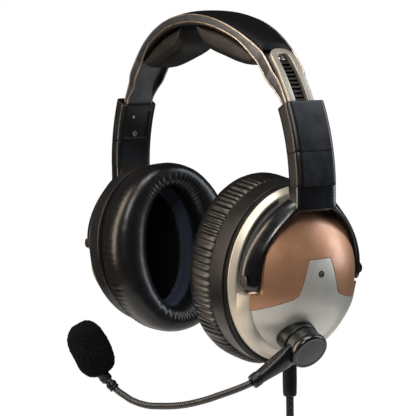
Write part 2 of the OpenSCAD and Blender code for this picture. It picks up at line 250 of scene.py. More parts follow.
def pearl(name, colour, flake, roughness):
    """Pearl paint: metallic flakes under a thin clear coat."""
    s = Shader(name, colour, roughness, 0.55, Coat_Weight=0.25, Coat_Roughness=0.18)
    s.paint(s.ranged(s.noise(3200, 1), 0.0, 0.8), flake)
    s.rough(s.noise(120, 3), roughness * 0.88, roughness * 1.15)
    s.bump((s.noise(2600, 1), 0.02), (s.noise(60, 2), 0.08))
    return s.material


def metal(name, colour, roughness, scratch=900):
    """Bare metal with fine handling scratches."""
    s = Shader(name, colour, roughness, 1.0)
    marks = s.noise(1, 5, s.stretched((scratch, scratch * 0.15, scratch), (0.3, 0.2, 0.5)))
    s.paint(s.ranged(marks, 0.0, 0.35), tuple(c * 0.7 for c in colour))
    s.rough(marks, roughness * 0.75, roughness * 1.35)
    s.bump((marks, 0.012))
    return s.material


def leather(name, colour, worn, roughness=0.31, grain=1500, shine=0.36):
    """Soft leather: pebbled cells with creases between them, paler where it is handled."""
    s = Shader(name, colour, roughness, Specular_IOR_Level=shine)
    wobble = s.node("VectorMath")
    wobble.operation = "MULTIPLY_ADD"
    fuzz = s.node("TexNoise", Vector=s.coords, Scale=500.0)
    shift = 0.8 * MM
    for socket, value in zip(wobble.inputs, (fuzz.outputs["Color"], (shift, shift, shift), s.coords)):
        s.feed(value, socket)
    pebbles = s.ranged(s.cells(grain, "DISTANCE_TO_EDGE", wobble.outputs[0]), 0.0, 1.0, 0.0, 0.25)
    s.paint(s.ranged(s.noise(55, 4), 0.0, 0.55, 0.35, 0.75), worn)
    s.rough(s.noise(160, 3), roughness * 0.92, roughness * 1.12)
    s.bump((pebbles, 0.01), (s.noise(150, 2), 0.03))
    return s.material


def cloth(name, colour, other, pitch=1400):
    """Plain woven cloth: two sets of threads that cross."""
    s = Shader(name, colour, 0.92, Specular_IOR_Level=0.06, Sheen_Weight=0.03, Sheen_Roughness=0.5)
    split, threads = s.node("SeparateXYZ", Vector=s.coords), []
    for axis in ("Y", "Z"):
        wave = s.maths("SINE", s.maths("MULTIPLY", split.outputs[axis], pitch * 3.0))
        threads.append(s.ranged(wave, 0.0, 1.0, -1.0, 1.0))
    weave = s.maths("MULTIPLY", threads[0], threads[1])
    s.paint(s.ranged(s.noise(700, 3), 0.0, 0.8), other)
    s.bump((weave, 0.15), (s.noise(300, 3), 0.1))
    return s.material


def foam(name, colour, other):
    """Open-cell foam, speckled."""
    s = Shader(name, colour, 0.95, Specular_IOR_Level=0.08)
    pores = s.cells(1300)
    s.paint(s.ranged(pores, 1.0, 0.0, 0.15, 0.6), other)
    s.bump((pores, 0.6), (s.noise(900, 3), 0.3))
    return s.material


def braid(name, colour, other, strands_about=6.0):
    """Braided sleeve: strands that cross on both diagonals of the piece's own UV."""
    s = Shader(name, colour, 0.5, Specular_IOR_Level=0.3)
    uv = s.node("UVMap")
    uv.uv_map = "along"
    split = s.node("SeparateXYZ", Vector=uv.outputs[0])
    along = s.maths("MULTIPLY", split.outputs["X"], tau)
    about = s.maths("MULTIPLY", split.outputs["Y"], strands_about * tau)
    one = s.maths("SINE", s.maths("ADD", along, about))
    two = s.maths("SINE", s.maths("SUBTRACT", along, about))
    strands = s.ranged(s.maths("MAXIMUM", one, two), 0.0, 1.0, -0.2, 1.0)
    s.paint(strands, other)
    s.rough(strands, 0.5, 0.75)
    s.bump((strands, 0.3), (s.noise(2500, 2), 0.04))
    return s.material


def brushed(name, colour, other):
    """Brushed gunmetal: long strokes across the band."""
    s = Shader(name, colour, 0.36, 0.7)
    strokes = s.noise(1, 4, s.stretched((160, 2600, 160)))
    s.paint(s.ranged(strokes, 0.0, 0.6), other)
    s.rough(s.noise(200, 3), 0.28, 0.44)
    s.bump((strokes, 0.02))
    return s.material


def circuit(name, colour, copper):
    """Solder mask with copper tracks."""
    s = Shader(name, colour, 0.4)
    tracks = s.maths("LESS_THAN", s.cells(260, "DISTANCE_TO_EDGE"), 0.06)
    s.paint(tracks, copper)
    s.rough(s.noise(400, 2), 0.3, 0.5)
    s.bump((tracks, 0.05))
    return s.material


# Each finish: how it is made, its colour, and the rest of that function's values. A finish has the
# name of the record's material slot, where it stands for one.
PALETTE = {
    "gunmetal": (brushed, (0.050, 0.053, 0.060), (0.09, 0.092, 0.098)),
    "champagne_edge": (metal, (0.36, 0.305, 0.25), 0.34, 300),
    "cover_black": (leather, (0.0012, 0.0012, 0.0013), (0.0024, 0.0024, 0.0026), 0.46, 1900, 0.12),
    "pad_leather": (leather, (0.008, 0.0068, 0.0060), (0.021, 0.017, 0.0140), 0.46, 1500, 0.2),
    "spring_steel": (metal, (0.09, 0.088, 0.085), 0.35),
    # The rails' real champagne paint, darkened well below the shell's: painted shade for their shaded top
    # faces, and dimmer painted highlights.
    "rail_champagne": (pearl, (0.27, 0.243, 0.20), (0.35, 0.32, 0.265), 0.4),
    "tooth_steel": (metal, (0.035, 0.030, 0.026), 0.4),
    "screw_steel": (metal, (0.62, 0.60, 0.57), 0.25),
    "cable_black": (moulded, (0.006, 0.006, 0.006), 0.5),
    "sleeve_black": (moulded, (0.0022, 0.0023, 0.0026), 0.34, 0.38, 0.005),
    "yoke_black": (moulded, (0.0025, 0.0028, 0.0034), 0.24, 0.5, 0.01),
    "shell_champagne": (pearl, (0.50, 0.45, 0.37), (0.61, 0.56, 0.47), 0.44),
    "recess_grey": (moulded, (0.30, 0.30, 0.29), 0.45),
    "ring_black": (moulded, (0.006, 0.0055, 0.0052), 0.36),
    "black_plate": (moulded, (0.003, 0.003, 0.003), 0.5),
    "dome_bronze": (pearl, (0.36, 0.168, 0.085), (0.50, 0.275, 0.165), 0.42),
    "cover_grey": (pearl, (0.47, 0.45, 0.405), (0.58, 0.56, 0.51), 0.44),
    "cushion_leather": (leather, (0.0030, 0.0031, 0.0034), (0.0075, 0.0066, 0.0060)),
    "lining_cloth": (cloth, (0.020, 0.025, 0.038), (0.030, 0.036, 0.052)),
    "baffle_cloth": (cloth, (0.001, 0.001, 0.0012), (0.002, 0.002, 0.0025), 1100),
    "speaker_black": (moulded, (0.006, 0.006, 0.007), 0.5),
    "board_green": (circuit, (0.01, 0.09, 0.03), (0.45, 0.30, 0.10)),
    "boom_black": (moulded, (0.0045, 0.0045, 0.005), 0.34),
    "knob_black": (moulded, (0.0025, 0.0028, 0.0035), 0.2, 0.45),
    "gooseneck_black": (moulded, (0.010, 0.0098, 0.0095), 0.3, 0.5),
    "collar_silver": (metal, (0.03, 0.029, 0.028), 0.32, 200),
    "foam_black": (foam, (0.002, 0.002, 0.0023), (0.008, 0.008, 0.0085)),
    "cord_black": (braid, (0.0025, 0.0025, 0.003), (0.022, 0.021, 0.020)),
    "plug_black": (moulded, (0.006, 0.006, 0.0065), 0.4),
    "plug_metal": (metal, (0.58, 0.57, 0.56), 0.27),
    "contact_gold": (metal, (0.80, 0.56, 0.22), 0.2),
    "tie_black": (cloth, (0.004, 0.004, 0.0045), (0.010, 0.010, 0.011), 1800),
}
MATERIALS = {name: make(name, *values) for name, (make, *values) in PALETTE.items()}


# ---- shared mesh code ----

def dress(mesh, material):
    """Smooth shading and one material."""
    mesh.polygons.foreach_set("use_smooth", [True] * len(mesh.polygons))
    mesh.materials.append(MATERIALS[material])


def add_piece(name, mesh, body, material):
    """A smooth piece that rides on a body."""
    dress(mesh, material)
    mesh.update()
    piece = placed(name, mesh)
    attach(piece, body)
    return piece


def ring_faces(rows, columns, closed):
    """Quads between rings of points. Closed joins the last ring to the first."""
    faces = []
    for i in range(rows if closed else rows - 1):
        for j in range(columns):
            a, b = i * columns, (i + 1) % rows * columns
            k = (j + 1) % columns
            faces.append((a + j, a + k, b + k, b + j))
    return faces


def loft(name, rings, body, material, closed=False, caps=True):
    """A skin over rings of points, closed on itself or with a cap on each end."""
    count = len(rings[0])
    faces = ring_faces(len(rings), count, closed)
    if caps and not closed:
        faces.append(tuple(range(count))[::-1])
        last = (len(rings) - 1) * count
        faces.append(tuple(range(last, last + count)))
    mesh = bpy.data.meshes.new(name)
    mesh.from_pydata([tuple(p) for ring in rings for p in ring], [], faces)
    return add_piece(name, mesh, body, material)


def soften(piece, width=0.3, segments=2, angle=32):
    """Rounds the hard edges of a piece, width in millimetres, and evens its shading."""
    bevel = piece.modifiers.new("bevel", "BEVEL")
    bevel.width, bevel.segments = width * MM, segments
    bevel.limit_method, bevel.angle_limit = "ANGLE", radians(angle)
    normals = piece.modifiers.new("normals", "WEIGHTED_NORMAL")
    normals.keep_sharp = True
    return piece


def subdivide(piece):
    subdivision = piece.modifiers.new("subdivision", "SUBSURF")
    subdivision.levels = subdivision.render_levels = 1
    return piece


def finish_node(name, material, width):
    """A CAD node keeps its shape and gets a material and rounded edges."""
    node = NODES[name]
    node.data.materials.clear()
    dress(node.data, material)
    weld = node.modifiers.new("weld", "WELD")
    weld.merge_threshold = 0.001 * MM
    soften(node, width)


def full_turn(count):
    """Angles evenly spaced round a circle."""
    return [tau * k / count for k in range(count)]


def basis(direction):
    """Two unit vectors across a direction."""
    w = Vector(direction).normalized()
    helper = Vector((0, 0, 1)) if abs(w.z) < 0.9 else Vector((1, 0, 0))
    u = helper.cross(w).normalized()
    return u, w.cross(u)


def lathe(name, profile, place, direction, body, material, sides=48, bevel=0.2):
    """Turns a profile of (radius, height) in millimetres about a direction."""
    w = Vector(direction).normalized()
    u, v = basis(w)
    rings = []
    for radius, height in profile:
        spokes = [(u * cos(t) + v * sin(t)) * radius for t in full_turn(sides)]
        rings.append([place + (w * height + spoke) * MM for spoke in spokes])
    piece = loft(name, rings, body, material)
    return soften(piece, bevel) if bevel else piece


def smooth_path(points, step):
    """A Catmull-Rom line through points, with a point about every step."""
    path = []
    ends = [points[0] * 2 - points[1]] + list(points) + [points[-1] * 2 - points[-2]]
    for p0, p1, p2, p3 in zip(ends, ends[1:], ends[2:], ends[3:]):
        count = max(1, round((p2 - p1).length / step))
        for i in range(count):
            t = i / count
            path.append(0.5 * ((2 * p1) + (p2 - p0) * t + (2 * p0 - 5 * p1 + 4 * p2 - p3) * t * t
                               + (3 * p1 - p0 - 3 * p2 + p3) * t ** 3))
    path.append(points[-1].copy())
    return path


def sweep(name, path, radius, body, material, sides):
    """A tube of radius(i) along a path, with a UV called along: lengths along it, and turns."""
    rings, side, travelled = [], basis(path[1] - path[0])[0], [0.0]
    for i, point in enumerate(path):
        tangent = (path[min(i + 1, len(path) - 1)] - path[max(i - 1, 0)]).normalized()
        side = (side - tangent * side.dot(tangent)).normalized()
        other = tangent.cross(side)
        spokes = [side * cos(t) + other * sin(t) for t in full_turn(sides)]
        rings.append([point + spoke * radius(i) for spoke in spokes])
        if i:
            travelled.append(travelled[-1] + (point - path[i - 1]).length)
    tube = loft(name, rings, body, material)
    uv = tube.data.uv_layers.new(name="along")
    for face in tube.data.polygons:
        whole = [v % sides for v in face.vertices]
        wraps = max(whole) == sides - 1 and min(whole) == 0 and len(whole) == 4
        for loop, k in zip(face.loop_indices, whole):
            about = sides if wraps and k == 0 else k
            ring = tube.data.loops[loop].vertex_index // sides
            uv.data[loop].uv = (travelled[ring] / BRAID_PITCH, about / sides)
    return tube


def oval(y, z, mid, t, power=2.0):
    """A point at t on an oval of half sizes y and z, squarer for a power over 2."""
    c, s = cos(t), sin(t)
    return (y * copysign(abs(c) ** (2 / power), c),
            mid + z * copysign(abs(s) ** (2 / power), s))


def cup_point(side, a, y, u, lean=TOE):
    """A point of an ear cup: a outwards, y to the back, u up, in millimetres from its pins."""
    x = a * cos(lean) + u * sin(lean)
    z = -a * sin(lean) + u * cos(lean)
    return Vector((side * (PIN_X + x * MM), y * MM, PIN_Z + z * MM))


def cup_ovals(side, profile, half_y, half_u, mid, count):
    """Rings round an ear cup, one for each (added half size, a) of a profile."""
    return [[cup_point(side, a, *oval(half_y + off, half_u + off, mid, t)) for t in full_turn(count)]
            for off, a in profile]


def arc_point(angle, radius, y):
    """A point of the rails' arc: angle from the crown in degrees, radius and y in millimetres."""
    t = radians(angle)
    return ARC_CENTRE + Vector((radius * sin(t), y, radius * cos(t))) * MM


def steps(low, high, count):
    """Both ends and the values between them, count equal steps in all."""
    return [low + (high - low) * i / count for i in range(count + 1)]


def ease(x, low, high):
    """A smooth step from 0 at low to 1 at high."""
    t = min(1.0, max(0.0, (x - low) / (high - low)))
    return t * t * (3 - 2 * t)


def fix_normals(piece):
    """Turns every face of a closed piece outwards."""
    mesh = bmesh.new()
    mesh.from_mesh(piece.data)
    bmesh.ops.recalc_face_normals(mesh, faces=mesh.faces)
    mesh.to_mesh(piece.data)
    mesh.free()
    return piece


# ---- cord ----

CORD_D = 4 * MM
BRAID_PITCH = 4 * MM
CORD_EXIT = mm(77.5, -2, -172)
CORD_ROUTE = [CORD_EXIT + mm(0, 0, -10 * i) for i in range(6)]
COIL_CENTRE = mm(52.5, 6, -222)
COIL_TURNS = [  # radius and place along the coil's axis, at the start and the end of each run
    (4, 25, -8, 25, 8), (1, 25, 8, 21, 8), (4, 21, 8, 21, -8), (1, 21, -8, 25, -12),
]
TAIL_ROUTE = [mm(77.5, -6, -222 - 5 * i) for i in range(1, 8)]
POINTS_A_TURN = 30


def coil_route():
    """The coil's points: out along its axis, in to a smaller radius, and back."""
    points, phase = [], 0.0
    for turns, r0, y0, r1, y1 in COIL_TURNS:
        for i in range(1, turns * POINTS_A_TURN + 1):
            f = i / (turns * POINTS_A_TURN)
            phase += tau / POINTS_A_TURN
            r, y = r0 + (r1 - r0) * f, y0 + (y1 - y0) * f
            points.append(COIL_CENTRE + Vector((r * cos(phase), y, -r * sin(phase))) * MM)
    return points


def add_cord():
    """The cord from the left cup, wound in a tied coil."""
    route = smooth_path(CORD_ROUTE + coil_route() + TAIL_ROUTE, 1.6 * MM)
    cord = sweep("headset_cord", route, lambda i: CORD_D / 2, "left_cup", "cord_black", 12)
    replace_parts(cord, "cord", "cord_coil", "cord_tail")
    tie = add_tie()


def add_tie():
    """A woven tie wrapped round the top of the coil."""
    low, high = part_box("cord_tie")
    centre, half = (low + high) / 2, (high - low) / 2
    rings = []
    for t in full_turn(48):
        ring = []
        for across, out in ((-1, 0), (-1, -0.8), (1, -0.8), (1, 0), (0, 0.15)):
            y, z = oval(half.y + out * MM, half.z + out * MM, 0, t, 5)
            ring.append(centre + Vector((across * half.x * 0.98, y, z)))
        rings.append(ring)
    tie = fix_normals(loft("cord_tie_wrap", rings, "left_cup", "tie_black", closed=True))
    subdivide(tie)
    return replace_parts(tie, "cord_tie")


# ---- soft parts ----

PRESSURE = 4.0


def inflate(piece, held, frames, cap):
    """Fills a closed leather skin with foam by cloth simulation, held at its sewn points."""
    group = piece.vertex_groups.new(name="sewn")
    group.add(held, 1.0, "REPLACE")
    cloth_mod = piece.modifiers.new("skin", "CLOTH")
    rules = cloth_mod.settings
    rules.quality, rules.mass, rules.use_pressure = 6, 0.25, True
    rules.uniform_pressure_force = PRESSURE
    rules.tension_stiffness = rules.compression_stiffness = 25
    rules.bending_stiffness = 1.5
    rules.vertex_group_mass = "sewn"
    rules.effector_weights.gravity = 0
    cloth_mod.point_cache.frame_end = frames
    for step in range(1, frames + 1):
        SCENE.frame_set(step)
    bpy.context.view_layer.update()
    result = piece.evaluated_get(bpy.context.evaluated_depsgraph_get())
    moved = [v.co.copy() for v in result.data.vertices]
    piece.modifiers.remove(cloth_mod)
    piece.vertex_groups.remove(group)
    for vert, place in zip(piece.data.vertices, moved):
        push = place - vert.co
        vert.co += push * min(1.0, cap / push.length) if push.length > 1e-9 else push
    SCENE.frame_set(1)
    piece.data.update()


CUSHION_MID = -5.3
CUSHION_A, CUSHION_HALF = -37.3, 13.1
CUSHION_HOLE, CUSHION_RIM = (21.9, 38.9), (41.3, 51.3)
CUSHION_AROUND, CUSHION_ACROSS = 540, 40
PLEATS = 88
PLEAT_DEPTH = {1: 1.8, -1: 0.35}
GATHER_DEPTH = 1.2


def cushion_section(k):
    """One point of the cushion's section: across (-1 inner, 1 outer) and depth (-1 back, 1 face)."""
    t = tau * k / CUSHION_ACROSS
    across, depth = oval(1, 1, 0, t, 2.5 if sin(t) > 0 else 4.5)
    tuck = ease(-depth, -0.3, 1.0)
    across -= 0.05 * tuck * max(0.0, across)
    return across, depth


def pleat(t, across, depth, side):
    """How far gathered leather stands in, in millimetres: pleats on the outer wall, and gathers
    where the inner edge turns tightly at the top and the bottom."""
    drift = 0.35 * sin(3 * t + 0.7) + 0.25 * sin(7 * t + 2.1) + 0.2 * sin(17 * t)
    fold = abs(sin(PLEATS * t / 2 + 2.6 * drift))
    uneven = 0.7 + 0.3 * sin(23 * t + 1.3) * sin(11 * t)
    wall = ease(across, 0.3, 0.85) * (1 - ease(depth, 0.0, 0.6))
    inner = (1 - ease(across, -0.8, 0.2)) * ease(depth, 0.1, 0.8)
    tight = abs(sin(t)) ** 6
    gather = abs(sin(34 * t + 3 * sin(5 * t + 1)))
    pleats = PLEAT_DEPTH[side] * wall * uneven * (1 - fold ** 0.85)
    return pleats + GATHER_DEPTH * inner * tight * (1 - gather ** 0.8)


def ear_cushion(name, side):
    """A cushion's closed skin, sewn to the cup behind and wider inside than its opening."""
    rings = []
    for t in full_turn(CUSHION_AROUND):
        rim, ring = oval(*CUSHION_RIM, CUSHION_MID, t), []
        for k in range(CUSHION_ACROSS):
            across, depth = cushion_section(k)
            lip = 3.2 * ease(depth, -0.9, 0.3)
            hole = oval(CUSHION_HOLE[0] - lip, CUSHION_HOLE[1] - lip, CUSHION_MID, t)
            f = (1 + across) / 2
            y, u = hole[0] + (rim[0] - hole[0]) * f, hole[1] + (rim[1] - hole[1]) * f
            ring.append(cup_point(side, CUSHION_A - CUSHION_HALF * depth, y, u))
        rings.append(ring)
    return fix_normals(loft(f"{name}_cushion_skin", rings, f"{name}_cup", "cushion_leather", closed=True))


def settle_cushion(piece, side):
    """Fills the cushion, then sews its pleats and lays loose wrinkles on its face."""
    backs = [k for k in range(CUSHION_ACROSS) if cushion_section(k)[1] < -0.93]
    held = [i * CUSHION_ACROSS + k for i in range(CUSHION_AROUND) for k in backs]
    inflate(piece, held, 12, 0.8 * MM)
    normals = [v.normal.copy() for v in piece.data.vertices]
    for index, vert in enumerate(piece.data.vertices):
        i, k = divmod(index, CUSHION_ACROSS)
        t = tau * i / CUSHION_AROUND
        across, depth = cushion_section(k)
        sunk = pleat(t, across, depth, side)
        loose = 0.22 * noise.noise(vert.co * 70) + 0.10 * noise.noise(vert.co * 210)
        free = ease(depth, -0.95, -0.6)
        vert.co += normals[index] * (loose * free - sunk) * MM
    piece.data.update()
    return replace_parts(piece, piece.name.replace("_cushion_skin", "_ear_cushion"))


LINING_HALF = (21.6, 38.6)
SCREEN_HALF = (17.2, 34.2)


def ear_lining(name, side):
    """The cloth ring that lines the cushion's opening, and the dark cloth over the speaker."""
    shape = [(0.0, -36), (-0.1, -31), (-0.3, -28), (-0.8, -26.2), (-1.6, -25.6), (-3.0, -25.3),
             (-3.9, -25.2), (-4.5, -24.9), (-4.8, -24.2), (-4.9, -22.2)]
    rings = cup_ovals(side, shape, *LINING_HALF, CUSHION_MID, 120)
    lining = loft(f"{name}_ear_lining", rings, f"{name}_cup", "lining_cloth", caps=False)
    thick = lining.modifiers.new("thickness", "SOLIDIFY")
    thick.thickness, thick.offset = 0.5 * MM, 0
    rings = []
    for shrink, a in ((1.0, -21.6), (1.0, -22.1), (0.8, -22.9), (0.5, -23.4), (0.2, -23.6), (0.02, -23.65)):
        y, u = (half * shrink for half in SCREEN_HALF)
        rings.append([cup_point(side, a, *oval(y, u, CUSHION_MID, t)) for t in full_turn(96)])
    screen = fix_normals(loft(f"{name}_speaker_screen", rings, f"{name}_cup", "baffle_cloth"))


PAD_TOP = 104.3
STRIP_END = 43.2
LOBE_ENDS = (4.9, 34.6)
LOBE_ABOUT = 44
LOBE_FLOOR = [Vector((x, 0, z)) for x, z in (
    (9.0, 21.8), (9.6, 17.0), (12.0, 12.4), (18.0, 8.2), (29.0, 4.9), (40.0, 2.0), (48.0, 0.5),
    (54.0, 0.5), (58.5, 2.8), (60.0, 4.8),
)]


def lobe_section(k):
    """A lobe's section at point k: across from -1 to 1, and down from -1 at the frame to 1."""
    return oval(1, 1, 0, tau * k / LOBE_ABOUT, 3.2)


def head_lobe(name, side):
    """One leather lobe of the head pad, which hangs from the frame and is full towards its end."""
    floor, rings = smooth_path(LOBE_FLOOR, 1.3), []
    for i, low_point in enumerate(floor):
        f = i / (len(floor) - 1)
        angle = LOBE_ENDS[0] + (LOBE_ENDS[1] - LOBE_ENDS[0]) * (0.35 * f + 0.65 * ease(f, 0, 1))
        t = radians(angle)
        top = Vector((PAD_TOP * sin(t), 0, CROWN_Z + PAD_TOP * cos(t)))
        ring = []
        for k in range(LOBE_ABOUT):
            across, down = lobe_section(k)
            place = top.lerp(low_point, (1 + down) / 2)
            half = (band_half(place.x * SIDE_START / JOIN_X) - 1.5) * across
            ring.append(mm(side * place.x, half, place.z))
        rings.append(ring)
    return fix_normals(loft(f"{name}_head_lobe", rings, "headband", "pad_leather"))


def settle_lobe(piece):
    """Fills a lobe, then presses its seam in and leaves a few soft creases."""
    count = len(piece.data.vertices)
    tops = [k for k in range(LOBE_ABOUT) if lobe_section(k)[1] < -0.85]
    held = [v for v in range(count) if v % LOBE_ABOUT in tops]
    inflate(piece, held, 14, 1.1 * MM)
    normals = [v.normal.copy() for v in piece.data.vertices]
    for index, vert in enumerate(piece.data.vertices):
        across, down = lobe_section(index % LOBE_ABOUT)
        seam = exp(-((down - 0.55) / 0.06) ** 2) * ease(abs(across), 0.7, 0.95)
        loose = 0.30 * noise.noise(vert.co * 55) + 0.12 * noise.noise(vert.co * 160)
        free = ease(down, -0.9, -0.4)
        vert.co += normals[index] * (loose * free - 0.35 * seam) * MM
    piece.data.update()
    return subdivide(piece)


def add_head_pad():
    """Two lobes that hang from a leather-covered strip under the frame."""
    lobes = [settle_lobe(head_lobe(name, side)) for name, side in SIDES.items()]
    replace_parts(lobes[0], "head_pad")

    def strip(a):
        w = band_half(a) - 0.5
        return [(-3.2, -w + 0.5), (-3.2, 0), (-3.2, w - 0.5), (-2.9, w), (-1.4, w + 0.1),
                (-1.1, w - 0.3), (-1.1, 0), (-1.1, 0.3 - w), (-1.4, -w - 0.1), (-2.9, -w)]

    base = band_strip("pad_strip", strip, "pad_leather", 1.0, STRIP_END)
    soften(base, 0.4, 3)


# ---- headband ----

FRAME_END = 70.4
COVER_END = 43.0
KINK = (51.0, 56.5)


def band_point(a, up, y):
    """A point of the headband: a runs from the crown, and is the rails' angle past the crown's end;
    up is the height over the frame's plate."""
    over = abs(a) < SIDE_START
    t = radians(a * CROWN_END / SIDE_START if over else a)
    radius, centre = (CROWN_TOP, CROWN_Z) if over else (SIDE_TOP, ARC_Z)
    bend = ease(abs(a), SIDE_START - 2.0, SIDE_START + 1.5)
    lean = copysign(radians(abs(a) * (bend + (1 - bend) * CROWN_END / SIDE_START)), a)
    x, z = radius * sin(t) + up * sin(lean), centre + radius * cos(t) + up * cos(lean)
    return mm(x, y, z)


def band_half(a):
    """Half width of the frame: it tapers from the crown, and narrows again before the sleeve."""
    x = min(1.0, abs(a) / SIDE_START)
    return 10.2 + 4.9 * (1 - x * x) - 1.5 * ease(abs(a), *KINK)


def flange_low(a):
    """How far the frame's side walls hang under its plate."""
    deep = ease(abs(a), 30, 47) * (1 - ease(abs(a), 53, 62))
    return -1.5 - 2.6 * deep + 0.6 * ease(abs(a), 57, 62)


def band_strip(name, section, material, step=0.9, end=FRAME_END):
    """Sweeps a section of (up, y) points, worked out at each angle, along the headband."""
    angles = steps(-end, end, round(2 * end / step))
    rings = [[band_point(a, up, y) for up, y in section(a)] for a in angles]
    return fix_normals(loft(name, rings, "headband", material))


def round_bar(up, y, radius):
    """The section of a thin round bar about (up, y)."""
    return [(up + radius * sin(t), y + radius * cos(t)) for t in full_turn(10)]


def add_frame():
    """The frame's plate, its two side walls, and a polished bead along each of their edges."""
    def plate(a):
        w = band_half(a) - 0.6
        return [(-1.1, -w), (-1.1, 0), (-1.1, w), (0, w), (0, 0), (0, -w)]

    skin = band_strip("band_plate", plate, "gunmetal")
    soften(skin, 0.2)
    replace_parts(skin, "headband_frame", "spring_strips")
    for name, front in (("front", -1), ("rear", 1)):
        def flange(a):
            y, low, high = front * band_half(a), flange_low(a), 2.2
            inner = y - front * 0.75
            return [(low, inner), (low, y), ((low + high) / 2, y + front * 0.12), (high, y), (high, inner)]

        soften(band_strip(f"{name}_flange", flange, "gunmetal"), 0.15)
        for edge in ("lower", "upper"):
            def bead(a):
                up = flange_low(a) - 0.05 if edge == "lower" else 2.3
                return round_bar(up, front * (band_half(a) - 0.25), 0.55)

            band_strip(f"{name}_{edge}_edge", bead, "champagne_edge")


def add_band_cover():
    """The crowned black cover, which rounds off towards its ends."""
    def crown(a):
        end = sqrt(max(0.0, 1 - ease(abs(a), COVER_END - 4.5, COVER_END) ** 3))
        points = []
        for t in steps(0, pi, 28):
            y, rise = oval(band_half(a) - 1.1, 3.3 * (0.35 + 0.65 * end), 0, t, 2.4)
            points.append((1.6 + rise, y))
        return points

    cover = band_strip("band_cover_skin", crown, "cover_black", 1.0, COVER_END)
    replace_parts(cover, "headband_cover")
    soften(cover, 0.3, angle=50)


RAIL_Y, RAIL_HALF, RAIL_TOP, RAIL_LOW = 5.75, 2.0, 43.6, 70.3
RAIL_R, RAIL_T = 94.3, 3.5
SCREW_ANGLE, SCREW_R = 46.5, 95.3
STRIP_LOW, STRIP_TOP, STRIP_HALF = 94.35, 95.4, 3.3

# The strip is plain over the first two angles. Its notches follow, each (degrees on, radius).
STRIP_PLAIN = (45, 49.4)
FIRST_NOTCH, NOTCH_PITCH, NOTCHES = 49.5, 1.5, 13
NOTCH = ((0, 96.2), (0.02, 95.2), (0.8, 95.2), (0.82, 96.2))


def add_rail_screw(name, side):
    """The round head of the screw just above the toothed strip."""
    place = arc_point(side * SCREW_ANGLE, SCREW_R, 0)
    out = arc_point(side * SCREW_ANGLE, SCREW_R + 1, 0) - place
    head = [(0, -0.1), (2.1, -0.1), (2.2, 0.25), (1.9, 0.65), (1.1, 0.7), (1.05, 0.2), (0, 0.2)]
    screw = lathe(f"{name}_rail_screw", head, place, out, "headband", "screw_steel", sides=36, bevel=0.05)
    if side > 0:
        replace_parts(screw, "rail_screws")


def rail_line():
    """The middle line (angle, y) of both rails: up one, round the top and down the other."""
    turn = RAIL_TOP + degrees((RAIL_Y + RAIL_HALF) / RAIL_R)
    reach_up = degrees(RAIL_Y / RAIL_R)
    line = [(a, -RAIL_Y) for a in steps(RAIL_LOW, turn + 0.4, 30)]
    for t in steps(0, pi, 24):
        y, up = oval(RAIL_Y, reach_up, 0, t, 2.6)
        line.append((turn - up, -y))
    return line + [(a, RAIL_Y) for a in steps(turn + 0.4, RAIL_LOW, 30)]


def tooth_ring(side, angle, top):
    """A section across the toothed strip that lies between the rails."""
    corners = ((STRIP_LOW, -1), (STRIP_LOW, 1), (top, 1), (top, -1))
    return [arc_point(side * angle, r, way * STRIP_HALF) for r, way in corners]


def add_rails(name, side):
    """Two champagne rails, their colour darkened with painted shade, joined by a rounded top, and the
    toothed strip between them.
    """
    line, rings = rail_line(), []
    for i, (angle, y) in enumerate(line):
        before, after = line[max(i - 1, 0)], line[min(i + 1, len(line) - 1)]
        run, rise = radians(after[0] - before[0]) * RAIL_R, after[1] - before[1]
        size = hypot(run, rise)
        ring = []
        for t in full_turn(24):
            across, out = oval(1, 1, 0, t, 6)
            shift = across * RAIL_HALF / size
            place = angle + degrees(-rise * shift / RAIL_R)
            ring.append(arc_point(side * place, RAIL_R + RAIL_T * (1 + out) / 2, y + run * shift))
        rings.append(ring)
    rails = fix_normals(loft(f"{name}_rail_pair", rings, "headband", "rail_champagne"))
    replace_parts(soften(rails, 0.15), f"{name}_slider_rails")
    rings = [tooth_ring(side, angle, STRIP_TOP) for angle in STRIP_PLAIN]
    for i in range(NOTCHES):
        rings += [tooth_ring(side, FIRST_NOTCH + NOTCH_PITCH * i + on, top) for on, top in NOTCH]
    strip = fix_normals(loft(f"{name}_tooth_strip", rings, "headband", "tooth_steel"))
    soften(strip, 0.08)


# ---- yoke ----

ARM_OUT = (36.6, 42.8)
ARM_IN = (29.2, 35.4)
ARM_TOP, ARM_LOW = 6.4, -6.0
ARM_ABOUT = 32
TIP_ROUND = 3.9
TIP_LEVEL = 0.2
STUB_X = 95.2
STUB_HALF = (12, 5.5)
PIN_PLACE = (36.15, -0.4)


def arm_section(side, t, drop, scale):
    """A ring round the fork's arch at angle t, or below it near a tip, scaled about its middle."""
    lean = TOE + (FORK_LEAN - TOE) * sin(t)
    slim = 2.3 * sin(2 * t) ** 2
    out_y, out_u = ARM_OUT[0] - slim, ARM_OUT[1] - slim
    mid_y, mid_u = oval((out_y + ARM_IN[0]) / 2, (out_u + ARM_IN[1]) / 2, 0, t)
    half_y, half_u = oval((out_y - ARM_IN[0]) / 2, (out_u - ARM_IN[1]) / 2, 0, t)
    ring = []
    for about in full_turn(ARM_ABOUT):
        across, rise = oval(1, 1, 0, about, 2.25)
        top = ARM_TOP - 5.2 * ease(across, -0.6, 1.3)
        top += (ARM_TOP - top) * 0.8 * ease(sin(t), 0.8, 1.0)
        a = ARM_LOW + (top - ARM_LOW) * (1 + rise) / 2
        a = TIP_LEVEL + (a - TIP_LEVEL) * (0.45 + 0.55 * scale)
        y, u = mid_y + half_y * across * scale, mid_u + half_u * across * scale
        ring.append(cup_point(side, a, y, u - drop, lean))
    return ring


